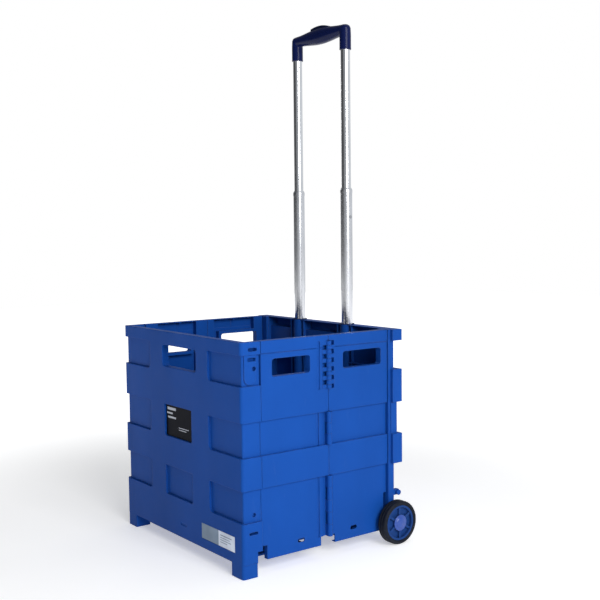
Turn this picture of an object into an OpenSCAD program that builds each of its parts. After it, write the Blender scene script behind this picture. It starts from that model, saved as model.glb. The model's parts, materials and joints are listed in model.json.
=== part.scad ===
/* [Crate] */
// Height of the rim above the floor
rim_z = 405; // [402:1:408]
// Height of the walls' lower edge above the floor
wall_low = 25; // [25:0.5:26]
// Outermost plane of the front wall
front_y = -190; // [-191:0.5:-189]
// Half width of the front wall over its raised bands
front_half = 211.5; // [211:0.5:212]
// Depth of a wall from its raised face to its inner face
wall_depth = 14; // [13.5:0.5:14]
// Depth of the woven relief on the front and the sides
relief = 4.5; // [3:0.5:5]
// Thickness of a moulded skin
skin = 2.2; // [2:0.1:3]
// Thickness of the stiffening ribs between two pockets
rib = 2.4; // [2:0.2:4]

/* [Woven rows] */
// Lower recessed row, bottom and top
row_low = [96, 152]; // [90:1:160]
// Middle recessed row, bottom and top
row_mid = [208, 268]; // [200:1:275]
// Upper recessed row, bottom and top
row_top = [330, 383]; // [325:1:385]
// Inner edges of the two front pocket columns beside the centre
column_in = [-51, 47]; // [-60:1:60]
// Distance of the outer pocket columns from the middle
column_out = 105; // [100:1:110]

/* [Side walls] */
// Inner face of a side wall and plane of its corner hinges
side_in = 197; // [196.5:0.5:197]
// Raised outer face of a side wall
side_out = 211; // [210.5:0.5:211]
// Plane of the middle hinge, just outside the raised face
fold_x = 212; // [212:0.5:213]
// Middle hinge position along the side
fold_y = -3; // [-4:0.5:-2]
// Distance between the middle hinge and each corner hinge
leaf_span = 128; // [127:0.5:128]
// Middle of the hand slots above the floor
hand_z = 357.5; // [355:0.5:360]
// Height of the hand slots in the sides
hand_h = 31; // [28:1:34]

/* [Corner hinges] */
// Heights of the middles of the corner hinges
corner_z = [78, 238, 308]; // [60:1:320]
// Radius of the corner knuckles
corner_r = 6; // [5.5:0.5:6]
// Radius of the corner hinge pins
corner_pin_r = 2; // [1.8:0.1:2.2]

/* [Middle hinge] */
// Height ranges that hold knuckles
fold_zones = [[41, 152], [208, 268], [309, 395]]; // [40:1:395]
// Knuckles in each range
fold_counts = [5, 3, 11]; // [3:2:13]
// Radius of the barrel
barrel_r = 5; // [4.5:0.5:5]
// Radius of the middle hinge pins
fold_pin_r = 1.8; // [1.6:0.1:2]

/* [Back wall] */
// Front plane of the corner posts and tube housings
post_y = 138.6; // [138.6:0.1:139]
// Inner plane of the back wall between the posts
back_in = 144; // [144:0.5:145]
// Rear plane of the recessed rows
back_recess = 152; // [151:0.5:153]
// Rear plane of the raised rows
back_out = 167; // [167:0.5:168]
// Half width over the raised rows
back_half = 220; // [219:0.5:221]

/* [Base] */
// Top of the base plate
base_top = 24; // [23.5:0.5:24]
// Underside of the base's ribs
base_low = 14; // [13:0.5:14]
// Half width of the base
base_half = 173.5; // [172:0.5:173.5]
// Hinge axis of the base, along the depth
base_axis_y = 132; // [131.5:0.5:132]

/* [Handle] */
// Distance of each tube from the middle
tube_x = 77.5; // [76:0.5:79]
// Place of the tubes along the depth
tube_y = 152.8; // [152.8:0.1:153]
// Outer radius of the lower tubes
lower_r = 11.5; // [11:0.1:11.5]
// Outer radius of the upper tubes
upper_r = 9.2; // [9:0.1:9.2]
// Height of the top of the lower stage when drawn out
lower_top = 670; // [660:1:680]
// Height of the lower end of the grip's sleeves when drawn out
sleeve_low = 941; // [936:1:945]
// Height of the grip's top when drawn out
grip_top = 996; // [990:1:998]

/* [Wheels] */
// Radius of a wheel
wheel_r = 41; // [40:0.5:41]
// Width of a tyre
tyre_w = 20; // [18:0.5:20]
// Inner face of a wheel
wheel_in = 215.5; // [215:0.5:216]
// Radius of an axle
axle_r = 5; // [4.5:0.5:5.5]

/* [Hidden] */
$fn = 48;

blue = [0.10, 0.27, 0.62];
navy = [0.07, 0.12, 0.30];
steel = [0.75, 0.76, 0.78];
black = [0.06, 0.06, 0.07];

cut = 1;
run = 0.08;
inner_y = front_y + wall_depth;
side_recess = side_out - relief;
side_rim = fold_x - 0.3;
corner_half = front_half - relief;
post_end_y = -150;
rim_low = 384;
front_hinge_y = fold_y - leaf_span;
rear_hinge_y = fold_y + leaf_span;
// Rows of the front wall: bottom, top, recessed or not
front_rows = [
    [wall_low, row_low[0], false], [row_low[0], row_low[1], true],
    [row_low[1], row_mid[0], false], [row_mid[0], row_mid[1], true],
    [row_mid[1], row_top[0], false], [row_top[0], row_top[1], true],
    [row_top[1], rim_z, false]
];
// Rows of a side wall: bottom, top, outer face
side_rows = [
    [wall_low, row_low[1], side_recess], [row_low[1], row_mid[0], side_out],
    [row_mid[0], row_mid[1], side_recess], [row_mid[1], rim_low, side_out],
    [rim_low, rim_z, side_rim]
];
// Rows of the back wall: bottom, top, rear plane, half width
back_mid = 158.5;
back_narrow = corner_half + 6;
back_rows = [
    [wall_low + 5, row_low[0], back_out, 182], [row_low[0], row_low[1], back_recess, back_narrow],
    [row_low[1], row_mid[0], back_out, back_half], [row_mid[0], row_mid[1], back_mid, back_narrow + 2],
    [row_mid[1], row_top[0], back_out, back_half], [row_top[0], rim_low, back_recess, back_narrow],
    [rim_low, rim_z, back_out, back_half]
];
foot_d = 30;
foot_out = front_half - 1.5;
foot_in = foot_out - 35;
knuckle_h = 16;
knuckle_gap = 0.4;
corner_h = 44;
clear_r = 0.6;
setback = [11, 11, 13];
// Second groove beside the middle hinge, on the front half only
groove = [19, 24];
groove_d = 1.8;
corner_round = 6;
notch_half = 16;
notch_z = 41;
base_axis_z = (base_top + base_low) / 2;
base_plate = 3;
under_z = base_top - base_plate;
base_front_y = inner_y + 1.5;
base_rear_y = 120;
base_hinge_x = [-38, 38];
tab_x = 158;
housing_r = 14.2;
housing_bore = 12.5;
housing_low = 31;
lower_in = 10.3;
upper_in = 8;
lower_len = 358;
bush_top = rim_z + 2;
collar_h = 9;
upper_low = 598;
snap_z = 617;
snap_r = 3.2;
wheel_y = 190 - wheel_r;
bracket_top = 64;
rim_r = wheel_r - 8;
hub_r = 13.5;
wheel_x = wheel_in + tyre_w / 2;

module block(low, high) {
    translate(low) cube(high - low);
}

module both_sides() {
    children();
    mirror([1, 0, 0]) children();
}

module at_left() {
    mirror([1, 0, 0]) children();
}

// Upright cylinder from z0 to z1
module post(x, y, r, z0, z1) {
    translate([x, y, z0]) cylinder(r = r, h = z1 - z0);
}

// Cylinder along X from x0 to x1
module rod(y, z, r, x0, x1) {
    translate([x0, y, z]) rotate([0, 90, 0]) cylinder(r = r, h = x1 - x0);
}

// Flat rounded bar, centred, thickness t along Z
module rounded_bar(w, h, r, t) {
    linear_extrude(t) {
        square([w - 2 * r, h], center = true);
        square([w, h - 2 * r], center = true);
        for (x = [-1, 1], y = [-1, 1])
            translate([x * (w / 2 - r), y * (h / 2 - r)]) circle(r);
    }
}

// Rounded window through a wall that faces along Y
module window_y(x0, x1, z0, z1, y0, y1, r) {
    translate([(x0 + x1) / 2, y1, (z0 + z1) / 2]) rotate([90, 0, 0])
        rounded_bar(x1 - x0, z1 - z0, r, y1 - y0);
}

// Rounded window through a wall that faces along X
module window_x(y0, y1, z0, z1, x0, x1, r) {
    translate([x0, (y0 + y1) / 2, (z0 + z1) / 2]) rotate([90, 0, 90])
        rounded_bar(y1 - y0, z1 - z0, r, x1 - x0);
}

// Curved infill of a pocket's lower corner, radius r, along Y
module corner_fill(x, z, side, r, y0, y1) {
    translate([x, y1, z]) rotate([90, 0, 0]) linear_extrude(y1 - y0) difference() {
        translate([side > 0 ? 0 : -r, 0]) square([r, r]);
        translate([side * r, r]) circle(r);
    }
}

// ---- Front panel -------------------------------------------------------

// Hand slot in the front: ends along X, bottom and top
front_slot = [-57, 66, 339, 380];
front_columns = [-182, -column_out, column_in[0], column_in[1], column_out, 182];

module front_solid() {
    block([-corner_half, front_y + relief, wall_low], [corner_half, inner_y, rim_z]);
    for (row = front_rows) if (!row[2])
        block([-front_half, front_y, row[0]], [front_half, inner_y, row[1]]);
    block([-column_out, front_y, wall_low], [column_in[0], inner_y, rim_z]);
    block([column_in[1], front_y, wall_low], [column_out, inner_y, rim_z]);
    block([column_in[0] - cut, front_y, row_top[0]], [column_in[1] + cut, inner_y, row_top[1]]);
    outer_fill = 9;
    centre_fill = 4;
    for (row = front_rows) if (row[2]) {
        corner_fill(column_out, row[0], 1, outer_fill, front_y, inner_y);
        corner_fill(-column_out, row[0], -1, outer_fill, front_y, inner_y);
        corner_fill(column_in[0], row[0], 1, centre_fill, front_y, inner_y);
        corner_fill(column_in[1], row[0], -1, centre_fill, front_y, inner_y);
    }
}

module front_pockets() {
    difference() {
        for (row = front_rows, i = [0:4]) {
            sunk = row[2] && (i % 4 == 0 || (i == 2 && row[0] != row_top[0]));
            face = front_y + (sunk ? relief : 0) + skin;
            block([front_columns[i] + rib / 2, face, row[0] + rib / 2],
                  [front_columns[i + 1] - rib / 2, inner_y + cut, row[1] - rib / 2]);
        }
        block([front_slot[0] - 4, front_y, front_slot[2] - 4],
            [front_slot[1] + 4, inner_y, front_slot[3] + 4]);
    }
}

// Side flange of the front panel, at the right
module front_flange() {
    flange_in = 200;
    block([flange_in, front_y + relief, wall_low], [corner_half, post_end_y, rim_z]);
    for (row = front_rows) if (!row[2])
        block([flange_in, front_y, row[0]], [front_half, post_end_y, row[1]]);
    pad_r = 12;
    rod(-170, 344, pad_r, corner_half - cut, corner_half + 2.5);
    block([corner_half - cut, -170 - pad_r, 344], [corner_half + 2.5, -170 + pad_r, row_top[1]]);
    for (z = corner_z) {
        block([187, inner_y - cut, z - knuckle_h / 2],
            [flange_in + cut, post_end_y - cut, z + knuckle_h / 2]);
        block([187, inner_y - cut, z - knuckle_h / 2],
              [side_in - 0.5, front_hinge_y - 0.5, z + knuckle_h / 2]);
        post(side_in, front_hinge_y, corner_r, z - knuckle_h / 2, z + knuckle_h / 2);
    }
}

module flange_cuts() {
    leg_y = -160;
    block([190, leg_y, wall_low - cut], [front_half + cut, post_end_y + cut, 44]);
    for (z = [392, 375])
        window_x(-175, -157, z - 3, z + 3, side_in + 5, front_half + cut, 2.5);
    rod(-162, 359, 3.8, side_in + 5, front_half + cut);
    rod(-164, 108, 3.8, side_in + 5, front_half + cut);
    window_x(-177, -159, 75, 80, side_in + 5, front_half + cut, 1.5);
    for (z = corner_z)
        post(side_in, front_hinge_y, corner_pin_r + run, z - knuckle_h, z + knuckle_h);
}

// Waste outside the rounded upright corner of each row
module corner_waste() {
    for (row = front_rows) {
        inset = row[2] ? relief : 0;
        r = row[2] ? 3 : corner_round;
        upright_round(front_half - inset, front_y + inset, r, row[0], row[1]);
    }
    upright_round(foot_out, front_y, corner_round - 1, -cut, wall_low);
}

module upright_round(x, y, r, z0, z1) {
    difference() {
        block([x - r, y - cut, z0], [x + cut, y + r, z1]);
        post(x - r, y + r, r, z0 - cut, z1 + cut);
    }
}

module front_foot() {
    block([foot_in, front_y, 0], [foot_out, front_y + foot_d, wall_low + cut]);
}

module front_panel() {
    color(blue) difference() {
        union() {
            difference() {
                front_solid();
                front_pockets();
            }
            both_sides() {
                front_flange();
                front_foot();
                // Tab on the foot that carries the base's front corner
                block([tab_x, inner_y + 3, under_z - 4],
                    [foot_in + cut, front_y + foot_d - 1, under_z - 0.3]);
            }
        }
        window_y(front_slot[0], front_slot[1], front_slot[2], front_slot[3], front_y - cut, inner_y + cut, 7);
        // Shallow mark above the lower edge
        window_y(2, 24, 48, 53, front_y - cut, front_y + 0.8, 2);
        both_sides() {
            flange_cuts();
            corner_waste();
        }
        // Hollow of each foot, open behind
        both_sides() block([foot_in + 4, front_y + 4, 4],
                           [foot_out - 4, front_y + foot_d + cut, wall_low - 3]);
        block([76.5, front_y - cut, 41.5], [185.5, front_y + 0.6, 69.5]);
    }
}

module front_plate() {
    color(black) block([column_in[0] + 1, front_y + relief - 1.4, row_mid[0] + 1],
                       [column_in[1] - 1, front_y + relief, row_mid[1] - 1]);
}

module sticker_grey() {
    color([0.45, 0.53, 0.62]) block([77, front_y + 0.1, 42], [132.8, front_y + 0.6, 69]);
}

module sticker_white() {
    color([0.85, 0.88, 0.92]) block([133, front_y + 0.1, 42], [185, front_y + 0.6, 69]);
}

// ---- Side walls --------------------------------------------------------

// One half of the right side wall, laid out from the middle hinge along +Y
// reach: distance to its free edge; slot: hand slot ends; lip: ends of the bottom lip
// first: which of the alternate knuckles it owns; pin_fit: extra radius in its middle bores
module side_leaf(reach, slot, lip, first, pin_fit, toe) {
    edge = 0.4;
    hand = [hand_z - hand_h / 2, hand_z + hand_h / 2];
    difference() {
        union() {
            leaf_shell(reach, slot, edge, hand, first);
            leaf_knuckles(first);
            for (z = corner_z, s = [-1, 1])
                translate([side_in, leaf_span, z + s * (corner_h + knuckle_h) / 4])
                    cylinder(r = corner_r, h = (corner_h - knuckle_h) / 2 - knuckle_gap, center = true);
            block([base_half + 1.5, lip[0], wall_low], [side_in + cut, lip[1], wall_low + 3]);
        }
        window_x(slot[0], slot[1], hand[0], hand[1], side_in - cut, side_rim + cut, 5);
        for (z = corner_z) {
            post(side_in, leaf_span, corner_r + clear_r, z - knuckle_h / 2 - knuckle_gap,
                 z + knuckle_h / 2 + knuckle_gap);
            post(side_in, leaf_span, corner_pin_r, z - corner_h / 2 - cut, z + corner_h / 2 + cut);
        }
        for (zone = fold_zones)
            post(fold_x, 0, fold_pin_r + pin_fit, zone[0] - cut, zone[1] + cut);
        block([side_in - cut, -cut, wall_low - cut], [side_rim + cut, notch_half, notch_z]);
        // Cut-away toe of the free edge
        block([side_in - cut, toe[0], wall_low - cut], [side_rim + cut, reach + cut, toe[1]]);
        window_x(53, 68, wall_low + 15.5, wall_low + 22.5, side_in - cut, side_rim + cut, 2.5);
    }
}

module leaf_shell(reach, slot, edge, hand, first) {
    pocket_y = [first == 0 ? groove[1] + 4 : setback[2] + 3, 65, 65 + rib, leaf_span - 10];
    frame = 6;
    difference() {
        for (row = side_rows)
            block([side_in, edge, row[0]], [row[2], reach, row[1]]);
        difference() {
            union() {
                for (row = side_rows, i = [0, 2])
                    block([side_in - cut, pocket_y[i], row[0] + rib / 2],
                          [row[2] - skin, pocket_y[i + 1], row[1] - rib / 2]);
                // One open field from the middle row up to the rim
                block([side_in - cut, pocket_y[0], row_mid[1] + rib / 2],
                      [side_out - skin, pocket_y[3], rim_z - 4]);
            }
            block([side_in, slot[0] - frame, hand[0] - frame], [side_out, slot[1] + frame, hand[1] + frame]);
        }
        for (i = [0:2]) {
            zone = fold_zones[i];
            face = i == 2 ? side_out : side_recess;
            block([side_recess - groove_d, -cut, zone[0]], [side_rim + cut, setback[i], zone[1]]);
            if (first == 0)
                block([face - groove_d, groove[0], zone[0]], [side_rim + cut, groove[1], zone[1]]);
        }
        // Fine shadow lines under the rim and along the free edge
        block([side_out - 1, edge - cut, rim_low - 1.4], [side_rim + cut, reach + cut, rim_low]);
    }
}

module leaf_knuckles(first) {
    for (i = [0:2]) {
        low = fold_zones[i][0];
        pitch = (fold_zones[i][1] - low) / fold_counts[i];
        for (k = [first:2:fold_counts[i] - 1]) {
            z0 = low + k * pitch + knuckle_gap / 2;
            z1 = low + (k + 1) * pitch - knuckle_gap / 2;
            post(fold_x, 0, barrel_r, z0, z1);
            block([side_in + 5, 0.8, z0], [fold_x, barrel_r - 0.5, z1]);
            // Arms that cross the groove beside the barrel
            if (i == 2) block([side_in + 5, 1, z0], [side_rim, setback[2] + 1, z1]);
            if (i == 1 && first == 1) block([side_in + 5, 1, z0], [side_recess, setback[1] + 1, z1]);
        }
    }
}

module rear_leaf() {
    translate([0, fold_y, 0])
        side_leaf(140.5, [34, 125], [43, 110], 1, 0, [134, 96]);
}

module front_leaf() {
    translate([0, fold_y, 0]) mirror([0, 1, 0])
        side_leaf(146, [41, 123], [notch_half, 110], 0, run, [134, 50]);
}

module rear_side_right() { color(blue) rear_leaf(); }
module front_side_right() { color(blue) front_leaf(); }
module rear_side_left() { color(blue) at_left() rear_leaf(); }
module front_side_left() { color(blue) at_left() front_leaf(); }

module fold_pins() {
    for (zone = fold_zones)
        post(fold_x, fold_y, fold_pin_r, zone[0] + 0.5, zone[1] - 0.5);
}

module corner_pins(y) {
    for (z = corner_z)
        post(side_in, y, corner_pin_r, z - corner_h / 2 + 0.5, z + corner_h / 2 - 0.5);
}

module fold_pins_right() { color(steel) fold_pins(); }
module fold_pins_left() { color(steel) at_left() fold_pins(); }
module rear_corner_pins_right() { color(steel) corner_pins(rear_hinge_y); }
module rear_corner_pins_left() { color(steel) at_left() corner_pins(rear_hinge_y); }
module front_corner_pins_right() { color(steel) corner_pins(front_hinge_y); }
module front_corner_pins_left() { color(steel) at_left() corner_pins(front_hinge_y); }

// ---- Back panel --------------------------------------------------------

back_columns = [-182, -99, -56, 56, 99, 182];

module back_solid() {
    block([-182, back_in, base_low], [182, back_recess, rim_z]);
    for (row = back_rows)
        block([-row[3], back_in, row[0]], [row[3], row[2], row[1]]);
    both_sides() {
        block([56, back_in, wall_low + 5], [99, back_out, rim_z]);
        block([182, post_y, bracket_top], [back_narrow, back_recess, rim_z]);
        post(tube_x, tube_y, housing_r, housing_low, rim_z);
        // Rear ledge that closes the gap behind the base
        block([60, 123, base_low], [180, back_in + cut, base_top]);
        for (z = corner_z) {
            block([187, rear_hinge_y + 0.5, z - knuckle_h / 2],
                  [side_in - 0.5, post_y + cut, z + knuckle_h / 2]);
            post(side_in, rear_hinge_y, corner_r, z - knuckle_h / 2, z + knuckle_h / 2);
        }
        // Knob over the wheel
        rod(160, 94, 5, back_narrow - cut, back_half - 1.5);
        block([back_narrow - 8, post_y, 89], [back_narrow, 165, 99]);
    }
    for (x = base_hinge_x, s = [-1, 1]) {
        ear = x + s * 11.7;
        rod(base_axis_y, base_axis_z, 5, ear - 3.3, ear + 3.3);
        block([ear - 3.3, base_axis_y, base_low], [ear + 3.3, back_in + cut, base_top]);
    }
}

module back_pockets() {
    difference() {
        for (row = back_rows, i = [0:4]) {
            raised = i % 2 == 1;
            face = (raised ? back_out : row[2]) - skin;
            block([back_columns[i] + rib / 2, back_in - cut, row[0] + rib / 2],
                  [back_columns[i + 1] - rib / 2, face, row[1] - (row[1] == rim_low ? -rib : rib / 2)]);
        }
        both_sides() post(tube_x, tube_y, housing_r, 0, rim_z);
    }
}

module back_panel() {
    color(blue) difference() {
        back_solid();
        back_pockets();
        both_sides() {
            post(tube_x, tube_y, housing_bore, housing_low + 5, rim_z + cut);
            post(tube_x, tube_y, housing_bore - 3, housing_low - cut, housing_low + 6);
            // Way for the snap button when the lower stage is in
            block([tube_x + 9, tube_y - 4.5, 346], [tube_x + 17, tube_y + 4.5, rim_z + cut]);
            // Way for the bottom lip of the folded side
            block([60, post_y - cut, base_top], [182.5, 148.6, base_top + 5]);
            for (z = corner_z)
                post(side_in, rear_hinge_y, corner_pin_r + run, z - knuckle_h, z + knuckle_h);
            // Upright hollow of each corner post
            block([188, back_in - 2, bracket_top + 8], [back_narrow - skin, back_recess - skin, rim_low - 4]);
            post(192, 147, 2, bracket_top - cut, bracket_top + 14);
        }
        for (x = base_hinge_x)
            rod(base_axis_y, base_axis_z, 2.5, x - 16, x + 16);
    }
}

module base_pins() {
    color(steel) for (x = base_hinge_x)
        rod(base_axis_y, base_axis_z, 2.5, x - 15, x + 15);
}

// ---- Base --------------------------------------------------------------

module base_panel() {
    rib_x = [-152, -118, -62, -30, 0, 30, 62, 118, 152];
    color(blue) difference() {
        union() {
            block([-base_half, base_front_y, under_z], [base_half, base_rear_y, base_top]);
            for (x = rib_x)
                block([x - rib / 2, base_front_y, base_low], [x + rib / 2, base_rear_y, under_z + cut]);
            for (y = [base_front_y:58:base_rear_y])
                block([rib_x[0], y, base_low], [-rib_x[0], y + rib, under_z + cut]);
            block([-base_half, base_rear_y - 4, base_low], [base_half, base_rear_y, under_z + cut]);
            both_sides() block([base_half - 3, 72, base_low], [base_half, base_rear_y, under_z + cut]);
            for (x = base_hinge_x) {
                rod(base_axis_y, base_axis_z, 5, x - 8, x + 8);
                block([x - 8, base_rear_y - cut, base_low + 1], [x + 8, base_axis_y, base_top - 1]);
            }
        }
        both_sides()
            block([148, fold_y - 28, base_low - cut], [base_half + cut, fold_y + 66, base_top + cut]);
        for (x = base_hinge_x)
            rod(base_axis_y, base_axis_z, 2.5 + run, x - 9, x + 9);
    }
}

// ---- Handle ------------------------------------------------------------

module tube(r, inner, z0, z1) {
    difference() {
        post(tube_x, tube_y, r, z0, z1);
        post(tube_x, tube_y, inner, z0 - cut, z1 + cut);
    }
}

module lower_tube() {
    difference() {
        tube(lower_r, lower_in, lower_top - lower_len, lower_top);
        rod(tube_y, snap_z, snap_r + run, tube_x, tube_x + 20);
    }
}

module lower_tube_right() { color(steel) lower_tube(); }
module lower_tube_left() { color(steel) at_left() lower_tube(); }

module upper_tube() {
    tube(upper_r, upper_in, upper_low, grip_top - 24);
}

module upper_tube_right() { color(steel) upper_tube(); }
module upper_tube_left() { color(steel) at_left() upper_tube(); }

// Bush at the mouth of the housing, with a flange that lies on the rim
module rim_bush() {
    difference() {
        union() {
            tube(housing_bore, lower_r + run, rim_z - 8, bush_top);
            tube(housing_r, lower_r + run, rim_z, bush_top);
        }
        block([tube_x + 9, tube_y - 4.5, rim_z - 9], [tube_x + 17, tube_y + 4.5, bush_top + cut]);
    }
}

module rim_bush_right() { color(navy) rim_bush(); }
module rim_bush_left() { color(navy) at_left() rim_bush(); }

// Guide ring on the foot of the lower tube
module lower_bush() {
    low = lower_top - lower_len;
    tube(housing_bore - run, lower_in, low - 6, low);
}

module lower_bush_right() { color(black) lower_bush(); }
module lower_bush_left() { color(black) at_left() lower_bush(); }

// Collar on the head of the lower tube, tapered at the top
module tube_collar() {
    difference() {
        union() {
            post(tube_x, tube_y, lower_r + 0.5, lower_top - 6, lower_top);
            translate([tube_x, tube_y, lower_top])
                cylinder(r1 = lower_r + 0.5, r2 = upper_r + 0.9, h = collar_h - 5);
        }
        post(tube_x, tube_y, upper_r + run, lower_top - 7, lower_top + collar_h);
        post(tube_x, tube_y, lower_r, lower_top - 7, lower_top);
    }
}

module tube_collar_right() { color(steel) tube_collar(); }
module tube_collar_left() { color(steel) at_left() tube_collar(); }

// Guide ring on the foot of the upper tube
module upper_bush() {
    tube(lower_in - run, upper_in, upper_low - 6, upper_low);
}

module upper_bush_right() { color(black) upper_bush(); }
module upper_bush_left() { color(black) at_left() upper_bush(); }

// Plug in the bottom of the housing
module tube_plug() {
    post(tube_x, tube_y, housing_bore - 3, housing_low, housing_low + 5);
    post(tube_x, tube_y, housing_bore, housing_low + 5, housing_low + 9);
}

module tube_plug_right() { color(black) tube_plug(); }
module tube_plug_left() { color(black) at_left() tube_plug(); }

module snap_button() {
    rod(tube_y, snap_z, snap_r, tube_x + lower_in + 0.05, tube_x + lower_r + 1.2);
    rod(tube_y, snap_z, snap_r - 0.8, tube_x + lower_r + 1, tube_x + lower_r + 2);
}

module snap_button_right() { color(steel) snap_button(); }
module snap_button_left() { color(steel) at_left() snap_button(); }

grip_r = 12;
bar_z = grip_top - 14.5;
bar_end_r = 10.5;
bar_swell = 6;
button_half = 25;

// Bar of the grip along X, thickest in the middle and flattened front and back
module grip_bar() {
    steps = 10;
    half = bar_end_r + 2;
    intersection() {
        translate([0, tube_y, bar_z]) rotate([0, 90, 0]) rotate_extrude()
            polygon(concat([[0, -tube_x]],
                           [for (i = [-steps:steps])
                               [bar_end_r + bar_swell * pow(cos(90 * i / steps), 2), tube_x * i / steps]],
                           [[0, tube_x]]));
        block([-tube_x - cut, tube_y - half, bar_z - 30], [tube_x + cut, tube_y + half, bar_z + 30]);
    }
}

module grip() {
    color(navy) difference() {
        union() {
            both_sides() {
                post(tube_x, tube_y, grip_r, sleeve_low, bar_z - 2);
                translate([tube_x, tube_y, bar_z - 2]) sphere(r = grip_r - 0.5);
            }
            grip_bar();
        }
        both_sides() post(tube_x, tube_y, upper_r, sleeve_low - cut, grip_top - 24);
        block([-button_half - 0.3, tube_y - 6.3, grip_top - 10],
            [button_half + 0.3, tube_y + 6.3, grip_top + 3]);
    }
}

// Release button with a gently arched top
module grip_button() {
    arch_r = 105;
    color(black) intersection() {
        block([-button_half, tube_y - 6, grip_top - 6], [button_half, tube_y + 6, grip_top + 4]);
        translate([0, tube_y + 10, grip_top + 4 - arch_r]) rotate([90, 0, 0])
            cylinder(r = arch_r, h = 20, $fn = 192);
    }
}

// ---- Wheels ------------------------------------------------------------

module wheel_bracket() {
    difference() {
        union() {
            block([186, 139.5, 33], [back_narrow, back_out, bracket_top]);
            rod(wheel_y, wheel_r, 14, 186, back_narrow);
        }
        block([180, 139.5 - 20, 0], [back_narrow + cut, 139.5, 200]);
        rod(wheel_y, wheel_r, axle_r, 198, back_narrow + cut);
        post(192, 147, 2, 20, bracket_top + cut);
        post(192, 147, 4, 20, 36);
        // Moulded hollow behind the axle boss
        block([190, 157, 44], [208, back_out + cut, bracket_top - 4]);
    }
}

module wheel_bracket_right() { color(blue) wheel_bracket(); }
module wheel_bracket_left() { color(blue) at_left() wheel_bracket(); }

module bracket_screws() {
    color(steel) both_sides() {
        post(192, 147, 2, 34, bracket_top + 12);
        post(192, 147, 3.8, 33, 36);
    }
}

module axle() {
    rod(wheel_y, wheel_r, axle_r, 198.5, wheel_in + tyre_w - 3);
}

module axle_right() { color(steel) axle(); }
module axle_left() { color(steel) at_left() axle(); }

module axle_washer() {
    difference() {
        rod(wheel_y, wheel_r, 9, back_narrow + 0.2, wheel_in - 0.2);
        rod(wheel_y, wheel_r, axle_r, back_narrow, wheel_in);
    }
}

module axle_washer_right() { color(steel) axle_washer(); }
module axle_washer_left() { color(steel) at_left() axle_washer(); }

// Wheel axis along X with the wheel's middle at the origin
module at_wheel() {
    translate([wheel_x, wheel_y, wheel_r]) rotate([0, 90, 0]) children();
}

module tyre() {
    round = 4;
    w = tyre_w / 2;
    at_wheel() rotate_extrude($fn = 96) {
        translate([rim_r, -w + 1]) square([wheel_r - rim_r - round, tyre_w - 2]);
        translate([rim_r, -w + round]) square([wheel_r - rim_r, tyre_w - 2 * round]);
        for (s = [-1, 1]) translate([wheel_r - round, s * (w - round)]) circle(round);
    }
}

module tyre_right() { color(black) tyre(); }
module tyre_left() { color(black) at_left() tyre(); }

module wheel_rim() {
    w = tyre_w / 2;
    spokes = 6;
    at_wheel() difference() {
        union() {
            difference() {
                cylinder(r = rim_r, h = tyre_w - 3, center = true, $fn = 96);
                cylinder(r = rim_r - 4, h = tyre_w, center = true, $fn = 96);
            }
            cylinder(r = rim_r - 2, h = 5, center = true);
            translate([0, 0, -w]) cylinder(r = hub_r, h = tyre_w - 2);
            for (i = [0:spokes - 1])
                rotate([0, 0, i * 360 / spokes]) translate([hub_r - 2, -2, -w + 2])
                    cube([rim_r - hub_r, 4, tyre_w - 5]);
        }
        cylinder(r = axle_r + run, h = 2 * tyre_w, center = true);
        translate([0, 0, w - 4]) cylinder(r = axle_r + 2.5, h = 10);
    }
}

module wheel_rim_right() { color(blue) wheel_rim(); }
module wheel_rim_left() { color(blue) at_left() wheel_rim(); }

// Push-on clip that keeps the wheel on its axle
module axle_clip() {
    x = wheel_in + tyre_w - 3.8;
    difference() {
        rod(wheel_y, wheel_r, axle_r + 1.8, x, x + 0.8);
        rod(wheel_y, wheel_r, axle_r, x - cut, x + 2);
    }
}

module axle_clip_right() { color(steel) axle_clip(); }
module axle_clip_left() { color(steel) at_left() axle_clip(); }

// Domed cap over the axle's end
module hub_cap() {
    dome = 4.8;
    cap_r = 15;
    ball = (cap_r * cap_r + dome * dome) / (2 * dome);
    at_wheel() translate([0, 0, tyre_w / 2 - 2]) difference() {
        intersection() {
            translate([0, 0, dome - ball]) sphere(r = ball, $fn = 96);
            cylinder(r = cap_r, h = dome + cut);
        }
        translate([0, 0, -cut]) cylinder(r = axle_r + 2.5, h = cut + 1.2);
    }
}

module hub_cap_right() { color(blue) hub_cap(); }
module hub_cap_left() { color(blue) at_left() hub_cap(); }

front_panel();
back_panel();
base_panel();
rear_side_right();
front_side_right();
rear_side_left();
front_side_left();
fold_pins_right();
fold_pins_left();
rear_corner_pins_right();
rear_corner_pins_left();
front_corner_pins_right();
front_corner_pins_left();
base_pins();
front_plate();
sticker_grey();
sticker_white();
lower_tube_right();
lower_tube_left();
upper_tube_right();
upper_tube_left();
rim_bush_right();
rim_bush_left();
lower_bush_right();
lower_bush_left();
tube_collar_right();
tube_collar_left();
upper_bush_right();
upper_bush_left();
tube_plug_right();
tube_plug_left();
grip();
grip_button();
snap_button_right();
snap_button_left();
wheel_bracket_right();
wheel_bracket_left();
bracket_screws();
axle_right();
axle_left();
axle_washer_right();
axle_washer_left();
wheel_rim_right();
wheel_rim_left();
tyre_right();
tyre_left();
axle_clip_right();
axle_clip_left();
hub_cap_right();
hub_cap_left();
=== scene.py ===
import json
import math

import bmesh
import bpy
from mathutils import Matrix, Vector


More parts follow.
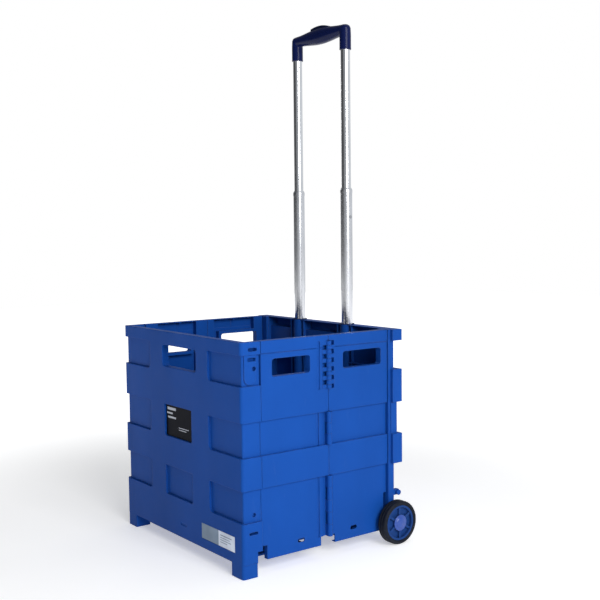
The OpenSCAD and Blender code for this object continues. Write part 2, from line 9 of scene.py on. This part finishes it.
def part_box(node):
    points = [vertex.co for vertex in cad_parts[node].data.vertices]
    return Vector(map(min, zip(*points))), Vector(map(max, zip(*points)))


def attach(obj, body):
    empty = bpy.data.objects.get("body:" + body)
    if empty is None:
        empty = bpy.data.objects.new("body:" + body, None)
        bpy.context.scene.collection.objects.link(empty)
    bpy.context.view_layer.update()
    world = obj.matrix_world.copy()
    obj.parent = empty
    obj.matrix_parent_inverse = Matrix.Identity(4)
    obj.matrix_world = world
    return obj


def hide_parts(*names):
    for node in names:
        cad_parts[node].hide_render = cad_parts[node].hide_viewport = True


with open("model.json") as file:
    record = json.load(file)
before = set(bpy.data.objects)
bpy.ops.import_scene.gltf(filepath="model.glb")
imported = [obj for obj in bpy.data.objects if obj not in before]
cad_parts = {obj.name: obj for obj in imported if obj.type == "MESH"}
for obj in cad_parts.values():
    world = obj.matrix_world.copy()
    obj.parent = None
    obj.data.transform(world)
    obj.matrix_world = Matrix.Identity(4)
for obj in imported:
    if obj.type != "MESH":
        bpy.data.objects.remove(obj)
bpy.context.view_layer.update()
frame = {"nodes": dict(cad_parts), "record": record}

MM = 0.001


# ---- Small helpers ------------------------------------------------------

def finish_mesh(name, bm, smooth=True):
    """Links a bmesh as a new object."""
    mesh = bpy.data.meshes.new(name)
    bm.to_mesh(mesh)
    bm.free()
    for face in mesh.polygons:
        face.use_smooth = smooth
    piece = bpy.data.objects.new(name, mesh)
    bpy.context.scene.collection.objects.link(piece)
    return piece


def place(piece, body, material, slot, *replaced):
    """Gives a piece its material and its body, and hides the nodes it stands for."""
    piece.data.materials.clear()
    piece.data.materials.append(material)
    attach(piece, body)
    if replaced:
        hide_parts(*replaced)
    return piece


def lathe(name, profile, centre, axis, segments=96, closed=True):
    """Turns (along, radius) points, in metres, round an axis through centre.

    A closed profile makes a ring. An open one starts and ends on the axis.
    """
    bm = bmesh.new()
    turn = Vector((0, 0, 1)).rotation_difference(Vector(axis)).to_matrix()
    rings = []
    for along, radius in profile:
        ring = []
        for i in range(segments):
            angle = 2 * math.pi * i / segments
            point = Vector((radius * math.cos(angle), radius * math.sin(angle), along))
            ring.append(bm.verts.new(centre + turn @ point))
        rings.append(ring)
    count = len(rings) if closed else len(rings) - 1
    for k in range(count):
        low, high = rings[k], rings[(k + 1) % len(rings)]
        for i in range(segments):
            j = (i + 1) % segments
            bm.faces.new((low[i], low[j], high[j], high[i]))
    bmesh.ops.remove_doubles(bm, verts=bm.verts, dist=0.01 * MM)
    bmesh.ops.recalc_face_normals(bm, faces=bm.faces)
    return finish_mesh(name, bm)


def arc(cx, cy, radius, start, end, steps):
    """Points of an arc, angles in degrees."""
    points = []
    for i in range(steps + 1):
        angle = math.radians(start + (end - start) * i / steps)
        points.append((cx + radius * math.cos(angle), cy + radius * math.sin(angle)))
    return points


# ---- Materials ----------------------------------------------------------

class Nodes:
    """A material's node tree with short calls for what every material here uses."""

    def __init__(self, name):
        self.material = bpy.data.materials.new(name)
        self.material.use_nodes = True
        self.tree = self.material.node_tree
        self.shader = self.tree.nodes["Principled BSDF"]
        self.place = self.add("ShaderNodeTexCoord").outputs["Object"]

    def add(self, kind, **values):
        node = self.tree.nodes.new(kind)
        for key, value in values.items():
            setattr(node, key, value)
        return node

    def link(self, source, target):
        self.tree.links.new(source, target)

    def stretched(self, scale):
        mapping = self.add("ShaderNodeMapping")
        mapping.inputs["Scale"].default_value = scale
        self.link(self.place, mapping.inputs["Vector"])
        return mapping.outputs["Vector"]

    def noise(self, scale, detail=3.0, rough=0.5, vector=None):
        node = self.add("ShaderNodeTexNoise")
        node.inputs["Scale"].default_value = scale
        node.inputs["Detail"].default_value = detail
        node.inputs["Roughness"].default_value = rough
        self.link(vector or self.place, node.inputs["Vector"])
        return node.outputs["Fac"]

    def ramp(self, source, stops):
        node = self.add("ShaderNodeValToRGB")
        ramp = node.color_ramp
        while len(ramp.elements) < len(stops):
            ramp.elements.new(0.5)
        for element, (position, colour) in zip(ramp.elements, stops):
            element.position = position
            element.color = (*colour, 1)
        self.link(source, node.inputs["Fac"])
        return node.outputs["Color"]

    def spread(self, source, low, high, target):
        """Drives a socket between two values by a texture."""
        node = self.add("ShaderNodeMapRange")
        node.inputs["To Min"].default_value = low
        node.inputs["To Max"].default_value = high
        self.link(source, node.inputs["Value"])
        self.link(node.outputs["Result"], target)

    def mix(self, factor, first, second, amount=1.0):
        """Mixes two colours by a texture, weakened by amount."""
        node = self.add("ShaderNodeMix", data_type="RGBA")
        scale = self.add("ShaderNodeMath", operation="MULTIPLY")
        scale.inputs[1].default_value = amount
        self.link(factor, scale.inputs[0])
        self.link(scale.outputs[0], node.inputs["Factor"])
        for value, socket in ((first, node.inputs["A"]), (second, node.inputs["B"])):
            if isinstance(value, tuple):
                socket.default_value = (*value, 1)
            else:
                self.link(value, socket)
        return node.outputs["Result"]

    def rounded_normal(self, radius):
        """Surface normal as if every edge were rounded to this radius."""
        bevel = self.add("ShaderNodeBevel", samples=6)
        bevel.inputs["Radius"].default_value = radius
        return bevel.outputs["Normal"]

    def edge_mask(self, rounded):
        """White along edges: where the rounded normal leaves the true one."""
        true = self.add("ShaderNodeNewGeometry").outputs["Normal"]
        dot = self.add("ShaderNodeVectorMath", operation="DOT_PRODUCT")
        self.link(rounded, dot.inputs[0])
        self.link(true, dot.inputs[1])
        spread = self.add("ShaderNodeMapRange")
        spread.inputs["From Min"].default_value = 0.98
        spread.inputs["From Max"].default_value = 0.75
        self.link(dot.outputs["Value"], spread.inputs["Value"])
        return spread.outputs["Result"]

    def product(self, first, second):
        node = self.add("ShaderNodeMath", operation="MULTIPLY")
        self.link(first, node.inputs[0])
        self.link(second, node.inputs[1])
        return node.outputs[0]

    def bump(self, layers, normal=None):
        """Stacks (height, strength, distance) bumps over a normal."""
        for height, strength, distance in layers:
            node = self.add("ShaderNodeBump")
            node.inputs["Strength"].default_value = strength
            node.inputs["Distance"].default_value = distance
            self.link(height, node.inputs["Height"])
            if normal:
                self.link(normal, node.inputs["Normal"])
            normal = node.outputs["Normal"]
        self.link(normal, self.shader.inputs["Normal"])


def shade(colour, factor):
    """A colour made darker or lighter."""
    return tuple(min(1.0, c * factor) for c in colour)


def moulded_plastic(name, colour, rough, rounding=0.0, grain=0.25, shine=0.05):
    """Injection-moulded plastic: flow mottling, spark-eroded grain, scuffs, and paler edges that are
    partly worn plastic and partly a painted highlight.
    """
    n = Nodes(name)
    flow = n.noise(5.0, 4.0, 0.6, n.stretched((1.0, 1.0, 0.45)))
    body = n.ramp(flow, [(0.3, shade(colour, 0.88)), (0.7, shade(colour, 1.10))])
    scuff = n.noise(60.0, 6.0, 0.75, n.stretched((1.0, 1.0, 0.18)))
    scuff_mask = n.ramp(scuff, [(0.62, (0, 0, 0)), (0.80, (1, 1, 1))])
    # Paler plastic, used for the scuffs (wear) and along the edges (partly wear, partly a painted
    # highlight)
    wear_and_highlight_pale = tuple(0.86 * c + 0.14 for c in colour)
    body = n.mix(scuff_mask, body, wear_and_highlight_pale, 0.10)
    normal = None
    if rounding:
        normal = n.rounded_normal(rounding)
        patchy = n.ramp(n.noise(22.0, 4.0, 0.6), [(0.38, (0, 0, 0)), (0.66, (1, 1, 1))])
        # Paler in patches along every edge: partly worn plastic, partly a painted highlight on the
        # edges
        body = n.mix(n.product(n.edge_mask(normal), patchy), body, wear_and_highlight_pale, 0.35)
    n.link(body, n.shader.inputs["Base Color"])
    n.spread(n.noise(35.0, 5.0, 0.65), rough - 0.07, rough + 0.10, n.shader.inputs["Roughness"])
    n.bump([(n.noise(9.0, 2.0), 0.10, 0.004), (n.noise(900.0, 2.0), grain, 0.00025)], normal)
    n.shader.inputs["IOR"].default_value = 1.49
    n.shader.inputs["Specular IOR Level"].default_value = shine
    return n.material


def drawn_metal(name, colour, rough, grain=(1.0, 1.0, 0.02), spread=0.05):
    """Drawn metal: fine lines along the draw in its gloss, and faint cloudy tarnish."""
    n = Nodes(name)
    lines = n.noise(260.0, 2.0, 0.6, n.stretched(grain))
    cloud = n.noise(14.0, 4.0)
    tone = n.ramp(cloud, [(0.3, shade(colour, 0.92)), (0.7, shade(colour, 1.05))])
    n.link(n.mix(lines, tone, shade(colour, 0.8), 0.25), n.shader.inputs["Base Color"])
    n.shader.inputs["Metallic"].default_value = 1.0
    n.spread(lines, rough - spread, rough + spread, n.shader.inputs["Roughness"])
    return n.material


def tyre_rubber(name):
    """Moulded rubber with dust in its grain."""
    n = Nodes(name)
    dust = n.noise(40.0, 6.0, 0.7)
    tone = n.ramp(dust, [(0.35, (0.003, 0.005, 0.011)), (0.8, (0.014, 0.017, 0.026))])
    n.shader.inputs["Specular IOR Level"].default_value = 0.12
    n.link(tone, n.shader.inputs["Base Color"])
    n.spread(dust, 0.48, 0.7, n.shader.inputs["Roughness"])
    n.bump([(n.noise(420.0, 3.0), 0.3, 0.0003)])
    return n.material


def film(name, colour, rough, coat):
    """Printed film with a slight unevenness from the wall behind it."""
    n = Nodes(name)
    cloud = n.noise(24.0, 3.0)
    n.link(n.ramp(cloud, [(0.3, shade(colour, 0.85)), (0.7, shade(colour, 1.15))]),
           n.shader.inputs["Base Color"])
    n.spread(n.noise(80.0, 4.0), rough - 0.04, rough + 0.08, n.shader.inputs["Roughness"])
    n.bump([(n.noise(18.0, 2.0), 0.15, 0.002), (n.noise(500.0), 0.06, 0.0002)])
    n.shader.inputs["Coat Weight"].default_value = coat
    n.shader.inputs["Coat Roughness"].default_value = 0.08
    n.shader.inputs["Specular IOR Level"].default_value = 0.03
    return n.material


BLUE = (0.0065, 0.062, 0.31)
crate_blue = moulded_plastic("crate_blue", BLUE, 0.40, rounding=0.0014, grain=0.22)
base_blue = moulded_plastic("base_blue", shade(BLUE, 0.9), 0.45, rounding=0.001, grain=0.3)
wheel_blue = moulded_plastic("wheel_blue", (0.010, 0.042, 0.17), 0.34, rounding=0.0006, grain=0.1)
cap_blue = moulded_plastic("cap_blue", (0.016, 0.06, 0.30), 0.30, grain=0.03, shine=0.5)
grip_navy = moulded_plastic("grip_navy", (0.003, 0.007, 0.050), 0.26, grain=0.04, shine=0.12)
button_navy = moulded_plastic("button_navy", (0.006, 0.009, 0.03), 0.34, rounding=0.0006, grain=0.1)
bush_navy = moulded_plastic("bush_navy", (0.02, 0.03, 0.08), 0.35, rounding=0.0004, grain=0.1)
inner_black = moulded_plastic("inner_black", (0.012, 0.012, 0.014), 0.5, grain=0.2)
tube_bright = drawn_metal("tube_bright", (0.80, 0.81, 0.83), 0.17)
tube_lower = drawn_metal("tube_lower", (0.72, 0.73, 0.76), 0.20)
steel_plated = drawn_metal("steel_plated", (0.60, 0.60, 0.62), 0.30, (1.0, 1.0, 1.0), 0.1)
snap_chrome = drawn_metal("snap_chrome", (0.45, 0.46, 0.48), 0.15, (1.0, 1.0, 1.0), 0.03)
rubber = tyre_rubber("rubber")
plate_black = film("plate_black", (0.002, 0.003, 0.008), 0.35, 0.0)
mark_white = film("mark_white", (0.50, 0.53, 0.60), 0.4, 0.1)
paper_grey = film("paper_grey", (0.24, 0.31, 0.40), 0.5, 0.05)
paper_white = film("paper_white", (0.70, 0.76, 0.88), 0.45, 0.1)

NODE_MATERIALS = {
    "crate_plastic": crate_blue, "base_plastic": base_blue, "plated_steel": steel_plated,
    "label_black": plate_black, "sticker_grey": paper_grey, "sticker_white": paper_white,
    "lower_tube": tube_lower, "upper_tube": tube_bright, "bush_plastic": bush_navy,
    "inner_plastic": inner_black, "grip_plastic": grip_navy, "button_plastic": button_navy,
    "snap_metal": snap_chrome, "wheel_plastic": wheel_blue, "tyre_rubber": rubber,
    "hub_cap": cap_blue,
}


# ---- Surfaces of the CAD nodes ------------------------------------------

class Graph:
    """A geometry node group with one mesh in and one mesh out."""

    def __init__(self, name):
        self.tree = bpy.data.node_groups.new(name, "GeometryNodeTree")
        for side in ("INPUT", "OUTPUT"):
            self.tree.interface.new_socket("Geometry", in_out=side, socket_type="NodeSocketGeometry")
        self.start = self.tree.nodes.new("NodeGroupInput").outputs[0]
        self.end = self.tree.nodes.new("NodeGroupOutput").inputs[0]

    def add(self, kind, **values):
        node = self.tree.nodes.new(kind)
        for key, value in values.items():
            setattr(node, key, value)
        return node

    def link(self, source, target):
        self.tree.links.new(source, target)

    def sharper_than(self, degrees):
        angle = self.add("GeometryNodeInputMeshEdgeAngle").outputs["Unsigned Angle"]
        node = self.add("FunctionNodeCompare", data_type="FLOAT", operation="GREATER_THAN")
        node.inputs[1].default_value = math.radians(degrees)
        self.link(angle, node.inputs[0])
        return node.outputs[0]


def smooth_by_angle():
    """Smooth faces with sharp edges kept where the surface turns by more than 48 degrees."""
    g = Graph("smooth_by_angle")
    faces = g.add("GeometryNodeSetShadeSmooth", domain="FACE")
    faces.inputs["Shade Smooth"].default_value = True
    edges = g.add("GeometryNodeSetShadeSmooth", domain="EDGE")
    edges.inputs["Shade Smooth"].default_value = False
    g.link(g.start, faces.inputs[0])
    g.link(faces.outputs[0], edges.inputs[0])
    g.link(g.sharper_than(48), edges.inputs["Selection"])
    g.link(edges.outputs[0], g.end)
    return g.tree


def dress_cad_nodes():
    """Material for every CAD node, with its curved faces smooth and its edges sharp."""
    smoothing = smooth_by_angle()
    for part in frame["record"]["subparts"]:
        node = frame["nodes"][part["node"]]
        node.data.materials.clear()
        node.data.materials.append(NODE_MATERIALS[part["material_slot"]])
        weld = node.modifiers.new("weld", "WELD")
        weld.merge_threshold = 0.00001
        node.modifiers.new("smooth", "NODES").node_group = smoothing
        normals = node.modifiers.new("normals", "WEIGHTED_NORMAL")
        normals.keep_sharp = True


dress_cad_nodes()


# ---- Grip ---------------------------------------------------------------

# Sleeve outline in millimetres: height above its mouth, and how far its radius is drawn in
SLEEVE = [(0.3, 0.3), (2.2, 0.1), (3.2, 0.5), (30, 0.5), (42, 1.0), (46.5, 3.0), (49, 7.0)]
# Middle of the bar above the sleeves' mouths, and rings along it
BAR_RISE = 39.6 * MM
BAR_STEPS = 24
# Half width and half height of the bar at its ends, and what its middle adds
BAR_END = (10.6 * MM, 10.2 * MM)
BAR_SWELL = (1.8 * MM, 5.8 * MM)
# Clearance round the button
POCKET_GAP = 0.35 * MM


def sweep(bm, stations, around=36):
    """Closed skin through (centre, across, up, half width, half height, squareness) stations."""
    rings = []
    for centre, across, up, wide, tall, square in stations:
        ring = []
        for k in range(around):
            angle = 2 * math.pi * k / around
            c, s = math.cos(angle), math.sin(angle)
            flat_c = math.copysign(abs(c) ** square, c)
            flat_s = math.copysign(abs(s) ** square, s)
            ring.append(bm.verts.new(centre + across * wide * flat_c + up * tall * flat_s))
        rings.append(ring)
    for low_ring, high_ring in zip(rings, rings[1:]):
        for k in range(around):
            j = (k + 1) % around
            bm.faces.new((low_ring[k], low_ring[j], high_ring[j], high_ring[k]))
    bm.faces.new(rings[0][::-1])
    bm.faces.new(rings[-1])


def settled(piece):
    """The same piece with its modifiers worked into the mesh."""
    depsgraph = bpy.context.evaluated_depsgraph_get()
    mesh = bpy.data.meshes.new_from_object(piece.evaluated_get(depsgraph))
    piece.modifiers.clear()
    piece.data = mesh
    for face in mesh.polygons:
        face.use_smooth = True
    return piece


def solid_block(name, low, high):
    """Box between two corners."""
    bm = bmesh.new()
    bmesh.ops.create_cube(bm, size=1)
    for vertex in bm.verts:
        for axis in range(3):
            vertex.co[axis] = high[axis] if vertex.co[axis] > 0 else low[axis]
    return finish_mesh(name, bm, smooth=False)


def make_grip():
    """U-shaped grip: two sleeves melt into a bar with a swollen middle and a button pocket."""
    low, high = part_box("grip")
    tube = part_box("upper_tube_right")
    tube_x = (tube[0].x + tube[1].x) / 2
    y = (low.y + high.y) / 2
    bar_z = low.z + BAR_RISE
    sleeve_r = high.x - tube_x - 0.2 * MM
    x_axis, y_axis, z_axis = Vector((1, 0, 0)), Vector((0, 1, 0)), Vector((0, 0, 1))
    bm = bmesh.new()
    for x in (-tube_x, tube_x):
        stations = []
        for rise, inset in SLEEVE:
            radius = sleeve_r - inset * MM
            stations.append((Vector((x, y, low.z + rise * MM)), x_axis, y_axis, radius, radius, 1))
        sweep(bm, stations)
    stations = []
    for i in range(BAR_STEPS + 1):
        x = -tube_x + 2 * tube_x * i / BAR_STEPS
        swell = math.cos(math.pi * x / (2 * tube_x)) ** 2
        wide = BAR_END[0] + BAR_SWELL[0] * swell
        tall = BAR_END[1] + BAR_SWELL[1] * swell
        stations.append((Vector((x, y, bar_z)), y_axis, z_axis, wide, tall, 0.88))
    sweep(bm, stations)
    bmesh.ops.recalc_face_normals(bm, faces=bm.faces)
    shell = finish_mesh("grip_shell", bm)
    melt = shell.modifiers.new("melt", "REMESH")
    melt.mode = "VOXEL"
    melt.voxel_size = 0.9 * MM
    blend = shell.modifiers.new("blend", "SMOOTH")
    blend.factor = 0.5
    blend.iterations = 9
    settled(shell)
    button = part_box("grip_button")
    pocket = solid_block("pocket", button[0] - Vector((POCKET_GAP, POCKET_GAP, 4 * MM)),
                         button[1] + Vector((POCKET_GAP, POCKET_GAP, 5 * MM)))
    carve = shell.modifiers.new("carve", "BOOLEAN")
    carve.object = pocket
    carve.operation = "DIFFERENCE"
    settled(shell)
    bpy.data.objects.remove(pocket)
    shell.modifiers.new("smooth", "NODES").node_group = bpy.data.node_groups["smooth_by_angle"]
    return place(shell, "upper_stage", grip_navy, "grip_plastic", "grip")


make_grip()


# ---- Wheels -------------------------------------------------------------

def make_tyre(side):
    """Tyre with rounded shoulders, two running grooves and a bead line."""
    low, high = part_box("tyre_" + side)
    centre = (low + high) / 2
    half = (high.x - low.x) / 2
    outer = (high.z - low.z) / 2
    inner = outer - 8 * MM
    shoulder = 4 * MM
    groove = 1.2 * MM
    profile = [(-half + 1 * MM, inner), (-half + 0.6 * MM, inner + 2 * MM),
               (-half, inner + 2.4 * MM)]
    profile += arc(-half + shoulder, outer - shoulder, shoulder, 180, 90, 7)
    for x in (-3.2 * MM, 3.2 * MM):
        profile += [(x - 0.9 * MM, outer), (x - 0.6 * MM, outer - groove),
                    (x + 0.6 * MM, outer - groove), (x + 0.9 * MM, outer)]
    profile += arc(half - shoulder, outer - shoulder, shoulder, 90, 0, 7)
    profile += [(half, inner + 2.4 * MM), (half - 0.6 * MM, inner + 2 * MM),
                (half - 1 * MM, inner)]
    piece = lathe("tyre_shell_" + side, profile, centre, (1, 0, 0), 128)
    return place(piece, "wheel_" + side, rubber, "tyre_rubber", "tyre_" + side)


def make_hub_cap(side):
    """Domed cap with a raised rim, a ring groove and a flat button in its middle."""
    low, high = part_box("hub_cap_" + side)
    centre = (low + high) / 2
    half = (high.x - low.x) / 2
    radius = (high.z - low.z) / 2
    out = 1 if side == "right" else -1
    dome = 2 * half
    ball = (radius * radius + dome * dome) / (2 * dome)
    profile = [(-half, 0), (-half, radius), (-half + 0.9 * MM, radius)]
    for i in range(1, 25):
        r = radius * (1 - i / 25)
        if r < 3.6 * MM:
            break
        along = -half + math.sqrt(ball * ball - r * r) - (ball - dome)
        if abs(r - 0.74 * radius) < 0.7 * MM:
            along -= 0.5 * MM
        profile.append((max(along, -half + 0.9 * MM), r))
    top = half - 0.15 * MM
    profile += [(top - 0.35 * MM, 3.5 * MM), (top, 3.1 * MM), (top + 0.1 * MM, 1.6 * MM),
                (top + 0.12 * MM, 0)]
    piece = lathe("hub_cap_shell_" + side, profile, centre, (out, 0, 0), closed=False)
    return place(piece, "wheel_" + side, cap_blue, "hub_cap", "hub_cap_" + side)


for wheel_side in ("right", "left"):
    make_tyre(wheel_side)
    make_hub_cap(wheel_side)


# ---- Printed marks ------------------------------------------------------

def print_bars(name, plate, bars, proud, material, slot):
    """Plain bars printed on a plate: (from left, from top, width, height) in millimetres."""
    low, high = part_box(plate)
    bm = bmesh.new()
    for left, down, width, height in bars:
        x0, x1 = low.x + left * MM, low.x + (left + width) * MM
        z1, z0 = high.z - down * MM, high.z - (down + height) * MM
        corners = [(x0, z0), (x1, z0), (x1, z1), (x0, z1)]
        front = [bm.verts.new((x, low.y - proud * MM, z)) for x, z in corners]
        back = [bm.verts.new((x, low.y + 0.1 * MM, z)) for x, z in corners]
        bm.faces.new(front)
        bm.faces.new(back[::-1])
        for k in range(4):
            j = (k + 1) % 4
            bm.faces.new((front[k], front[j], back[j], back[k]))
    bmesh.ops.recalc_face_normals(bm, faces=bm.faces)
    place(finish_mesh(name, bm, smooth=False), "front", material, slot)


print_bars("plate_marks", "front_plate",
           [(5, 4, 31, 5), (3, 13.5, 21, 3), (6, 21, 30, 3.5), (46, 38, 36, 1.3), (46, 42, 27, 1.3)],
           0.12, mark_white, "sticker_white")
print_bars("sticker_marks", "sticker_white",
           [(6, 6, 36, 1.6), (6, 10.5, 30, 1.2), (6, 14.5, 34, 1.2), (6, 18.5, 22, 1.2)],
           0.08, paper_grey, "sticker_grey")


# ---- Room, light and camera ---------------------------------------------

# Strength of the world's light from behind on the right, from the front left, and in reflections
WORLD_BACK, WORLD_FRONT, WORLD_GLOSS = 0.30, 0.03, 2.6
# The floor's own light near the object and far from it, and where it changes
GLOW_NEAR, GLOW_FAR = 0.42, 1.05
FADE_START, FADE_END = 0.5, 1.8
FLOOR_HALF = 6.0
# Camera: turn from +Y towards -X, drop below the horizon and roll, in degrees
CAMERA_AT = (1.5438, -1.0677, 0.5866)
CAMERA_TURN, CAMERA_DROP, CAMERA_ROLL = 53.03, 3.98, -0.60
LENS = 57.8


def make_floor():
    """Pale floor with painted light: it glows, more weakly near the object, so it brightens to white
    away from it.
    """
    bm = bmesh.new()
    for x, y in ((-1, -1), (1, -1), (1, 1), (-1, 1)):
        bm.verts.new((x * FLOOR_HALF, y * FLOOR_HALF, -0.2 * MM))
    bm.faces.new(bm.verts)
    floor = finish_mesh("floor", bm)
    n = Nodes("floor_pale")
    n.link(n.ramp(n.noise(3.0), [(0.3, (0.88, 0.88, 0.88)), (0.7, (0.93, 0.93, 0.93))]),
           n.shader.inputs["Base Color"])
    n.shader.inputs["Roughness"].default_value = 0.6
    n.shader.inputs["Emission Color"].default_value = (1, 1, 1, 1)
    away = n.add("ShaderNodeVectorMath", operation="LENGTH")
    n.link(n.add("ShaderNodeTexCoord").outputs["Object"], away.inputs[0])
    fade = n.add("ShaderNodeMapRange", interpolation_type="SMOOTHSTEP")
    fade.inputs["From Min"].default_value = FADE_START
    fade.inputs["From Max"].default_value = FADE_END
    fade.inputs["To Min"].default_value = GLOW_NEAR
    fade.inputs["To Max"].default_value = GLOW_FAR
    n.link(away.outputs["Value"], fade.inputs["Value"])
    n.link(fade.outputs["Result"], n.shader.inputs["Emission Strength"])
    floor.data.materials.append(n.material)


def area_light(name, place_at, target, size, power, colour=(1, 1, 1)):
    """Square light that faces a target."""
    data = bpy.data.lights.new(name, "AREA")
    data.shape = "SQUARE"
    data.size = size
    data.energy = power
    data.color = colour
    lamp = bpy.data.objects.new(name, data)
    lamp.location = place_at
    lamp.rotation_mode = "QUATERNION"
    lamp.rotation_quaternion = (Vector(target) - Vector(place_at)).to_track_quat("-Z", "Y")
    bpy.context.scene.collection.objects.link(lamp)


def make_world():
    """White behind the object, and a softer studio round it that falls off to the front left."""
    world = bpy.data.worlds.new("studio")
    bpy.context.scene.world = world
    world.use_nodes = True
    nodes, links = world.node_tree.nodes, world.node_tree.links
    nodes.clear()
    output = nodes.new("ShaderNodeOutputWorld")
    seen = nodes.new("ShaderNodeBackground")
    seen.inputs["Color"].default_value = (1, 1, 1, 1)
    direction = nodes.new("ShaderNodeTexCoord")
    side = nodes.new("ShaderNodeVectorMath")
    side.operation = "DOT_PRODUCT"
    side.inputs[1].default_value = (-0.6, -0.8, 0)
    links.new(direction.outputs["Generated"], side.inputs[0])
    falloff = nodes.new("ShaderNodeMapRange")
    falloff.inputs["From Min"].default_value = -0.6
    falloff.inputs["From Max"].default_value = 0.9
    falloff.inputs["To Min"].default_value = WORLD_BACK
    falloff.inputs["To Max"].default_value = WORLD_FRONT
    links.new(side.outputs["Value"], falloff.inputs["Value"])
    fill = nodes.new("ShaderNodeBackground")
    fill.inputs["Color"].default_value = (0.93, 0.96, 1.0, 1)
    path = nodes.new("ShaderNodeLightPath")
    gloss = nodes.new("ShaderNodeMapRange")
    gloss.inputs["To Min"].default_value = 1.0
    gloss.inputs["To Max"].default_value = WORLD_GLOSS
    links.new(path.outputs["Is Glossy Ray"], gloss.inputs["Value"])
    strength = nodes.new("ShaderNodeMath")
    strength.operation = "MULTIPLY"
    links.new(falloff.outputs["Result"], strength.inputs[0])
    links.new(gloss.outputs["Result"], strength.inputs[1])
    links.new(strength.outputs[0], fill.inputs["Strength"])
    mix = nodes.new("ShaderNodeMixShader")
    links.new(path.outputs["Is Camera Ray"], mix.inputs["Fac"])
    links.new(fill.outputs[0], mix.inputs[1])
    links.new(seen.outputs[0], mix.inputs[2])
    links.new(mix.outputs[0], output.inputs["Surface"])


def make_camera():
    """Camera at the seller's view: from the front right, looking slightly down."""
    azimuth, drop = math.radians(CAMERA_TURN), math.radians(CAMERA_DROP)
    roll = math.radians(CAMERA_ROLL)
    forward = Vector((-math.sin(azimuth) * math.cos(drop), math.cos(azimuth) * math.cos(drop),
                      -math.sin(drop)))
    right = Vector((math.cos(azimuth), math.sin(azimuth), 0))
    up = right.cross(forward)
    right, up = (right * math.cos(roll) + up * math.sin(roll),
                 up * math.cos(roll) - right * math.sin(roll))
    data = bpy.data.cameras.new("camera")
    data.sensor_width = 36
    data.lens = LENS
    data.clip_start = 0.01
    data.clip_end = 50
    camera = bpy.data.objects.new("camera", data)
    turn = Matrix((right, up, -forward)).transposed()
    camera.matrix_world = Matrix.Translation(CAMERA_AT) @ turn.to_4x4()
    bpy.context.scene.collection.objects.link(camera)
    bpy.context.scene.camera = camera


make_floor()
make_world()
make_camera()
area_light("key_light", (2.6, -0.42, 1.5), (0.1, 0, 0.3), 1.5, 68)
area_light("top_light", (0.3, 0.4, 2.6), (0, 0, 0.2), 1.8, 9)
area_light("front_light", (0.6, -2.8, 1.3), (0, 0, 0.3), 1.6, 1, (0.9, 0.95, 1.0))
bpy.context.scene.view_settings.view_transform = "Standard"
